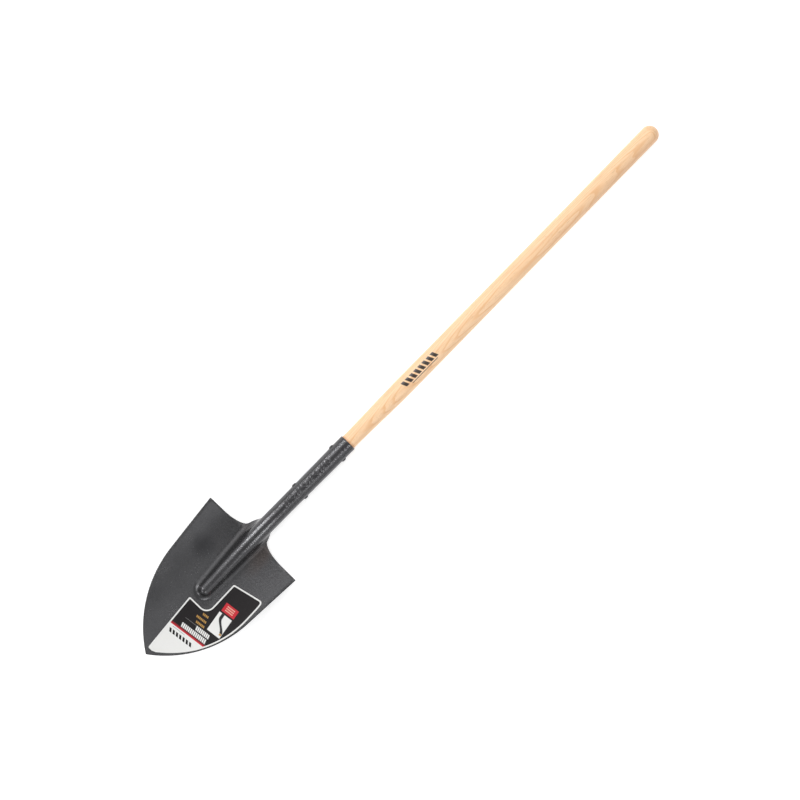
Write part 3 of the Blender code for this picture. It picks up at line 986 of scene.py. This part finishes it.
def make_label(material):
    """The film: a flat outline cut into small cells and laid on the dish."""
    bm = bmesh.new()
    outline = label_outline()
    bm.faces.new([bm.verts.new((x, -across, 0)) for x, across in outline])
    for axis, reach in ((Vector((1, 0, 0)), BLADE_LENGTH), (Vector((0, 1, 0)), BLADE_WIDTH / 2)):
        for place in np.arange(-reach, reach, LABEL_CELL):
            everything = bm.verts[:] + bm.edges[:] + bm.faces[:]
            cut = {"plane_co": axis * place, "plane_no": axis, "dist": 1e-7}
            bmesh.ops.bisect_plane(bm, geom=everything, **cut)
    bmesh.ops.triangulate(bm, faces=[face for face in bm.faces if len(face.verts) > 4])
    inset = bm.verts.layers.float.new("inset")
    for vertex in bm.verts:
        vertex[inset] = distance_inside((vertex.co.x, -vertex.co.y), outline)
        vertex.co.z = blade_height(vertex.co.x) + dish_rise(vertex.co.y) + FILM_LIFT + FILM
    bm.normal_update()
    if sum(face.normal.z for face in bm.faces) < 0:
        bmesh.ops.reverse_faces(bm, faces=bm.faces)
    bm.normal_update()
    rim = [edge for edge in bm.edges if edge.is_boundary]
    front = list(bm.verts)
    back = {vertex: bm.verts.new(vertex.co - vertex.normal * FILM) for vertex in front}
    for vertex in front:
        back[vertex][inset] = vertex[inset]
    for face in list(bm.faces):
        bm.faces.new([back[vertex] for vertex in reversed(face.verts)])
    for edge in rim:
        a, b = edge.verts
        bm.faces.new([b, a, back[a], back[b]])
    sharpen(bm, math.radians(60))
    return make_piece("film_label", bm, material)


# Studio


def aimed(centre, back, right):
    """A matrix for a camera or lamp that looks along -back at centre, from the end of back."""
    z_axis = back.normalized()
    x_axis = (right - z_axis * right.dot(z_axis)).normalized()
    y_axis = z_axis.cross(x_axis)
    turn = Matrix((x_axis, y_axis, z_axis)).transposed().to_4x4()
    return TOOL @ Matrix.Translation(centre + back) @ turn


def make_camera():
    """Looks down on the tool, turned a little about the handle, with the grip at upper right."""
    roll = math.radians(45.69)
    lean = math.radians(5.6)
    frame_width = 1.564
    middle_x = 0.701
    middle_across = 0.013
    lens = 600.0
    sensor = 36.0
    across = Vector((0, -math.cos(lean), math.sin(lean)))
    back = Vector((0, math.sin(lean), math.cos(lean)))
    right = Vector((1, 0, 0)) * math.cos(roll) + across * math.sin(roll)
    data = bpy.data.cameras.new("camera")
    data.lens = lens
    data.sensor_width = sensor
    data.clip_end = 50.0
    camera = bpy.data.objects.new("camera", data)
    bpy.context.scene.collection.objects.link(camera)
    centre = Vector((middle_x, 0, 0)) + across * middle_across
    camera.matrix_world = aimed(centre, back * frame_width * lens / sensor, right)
    bpy.context.scene.camera = camera


def make_softbox(name, over_x, side, end, length, width, radiance):
    """A soft lamp aimed at the tool at over_x.

    It is turned from overhead by side degrees to +Y, then by end degrees to +X.
    """
    data = bpy.data.lights.new(name, "AREA")
    data.shape = "RECTANGLE"
    data.size = length
    data.size_y = width
    data.energy = radiance * math.pi * length * width
    lamp = bpy.data.objects.new(name, data)
    bpy.context.scene.collection.objects.link(lamp)
    turn = math.radians(side)
    tip = math.radians(end)
    back = Vector((math.sin(tip), math.sin(turn) * math.cos(tip), math.cos(turn) * math.cos(tip)))
    lamp.matrix_world = aimed(Vector((over_x, 0, 0)), back * LAMP_DISTANCE, Vector((1, 0, 0)))


def make_floor():
    """A plain pale floor that glows a little, so that shadows stay soft."""
    g = Graph("pale_floor")
    shade = g.noise(g.place(), 0.8, 2.0)
    colour = g.blend(shade, (0.88, 0.88, 0.88), (0.91, 0.91, 0.91))
    g.shader.inputs["Emission Color"].default_value = (1, 1, 1, 1)
    g.shader.inputs["Emission Strength"].default_value = FLOOR_GLOW
    material = g.finish({"Specular IOR Level": 0.2}, colour=colour, roughness=0.9, height=0.0)
    bm = bmesh.new()
    bmesh.ops.create_grid(bm, x_segments=1, y_segments=1, size=FLOOR_HALF_SIZE)
    bm.transform(TOOL.inverted())
    make_piece("floor", bm, material)


def make_studio():
    """Large soft lamps over the tool, and two narrow banks that draw the light on the frog."""
    world = bpy.data.worlds.new("studio")
    world.use_nodes = True
    sky = world.node_tree.nodes["Background"]
    sky.inputs["Color"].default_value = (1, 1, 1, 1)
    sky.inputs["Strength"].default_value = SKY_GLOW
    bpy.context.scene.world = world
    bpy.context.scene.view_settings.view_transform = "Standard"
    make_softbox("key_softbox", TOOL_MIDDLE_X, side=45, end=0, length=5.5, width=3.2, radiance=1.3)
    make_softbox("fill_softbox", TOOL_MIDDLE_X, side=-45, end=0, length=5.5, width=1.6, radiance=1.0)
    make_softbox("key_bank", WEB_MIDDLE_X, side=53, end=0, length=0.55, width=2.4, radiance=13.0)
    make_softbox("fill_bank", WEB_MIDDLE_X, side=-30, end=0, length=0.55, width=2.0, radiance=9.5)
    make_softbox("low_key_softbox", TOOL_MIDDLE_X, side=75, end=0, length=5.5, width=1.0, radiance=1.1)
    make_softbox("low_fill_softbox", TOOL_MIDDLE_X, side=-72, end=0, length=5.5, width=1.0, radiance=1.1)
    make_softbox("tip_softbox", BLADE_MIDDLE_X, side=18, end=-42, length=2.0, width=1.8, radiance=4.6)
    make_softbox("grip_softbox", BLADE_MIDDLE_X, side=18, end=42, length=2.0, width=1.8, radiance=1.6)
    make_softbox("far_grip_softbox", BLADE_MIDDLE_X, side=-18, end=42, length=2.0, width=1.8, radiance=0.9)


def put_on_tool(piece, node):
    """Fixes a piece to the tool's one body, in place of its plain node."""
    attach(piece, "root")
    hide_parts(node)


def main():
    steel = painted_steel("stove_painted_steel", 0.06)
    rivet_steel = painted_steel("painted_rivet_steel", 0.10)
    put_on_tool(make_head(steel), "shovel_head")
    put_on_tool(make_handle(ash_wood()), "handle")
    lower_rivet = make_rivet("lower_rivet", LOWER_RIVET_X, rivet_steel)
    put_on_tool(lower_rivet, "rivet_lower")
    upper_rivet = make_rivet("upper_rivet", UPPER_RIVET_X, rivet_steel)
    put_on_tool(upper_rivet, "rivet_upper")
    put_on_tool(make_label(printed_film()), "label")
    make_floor()
    make_camera()
    make_studio()


main()
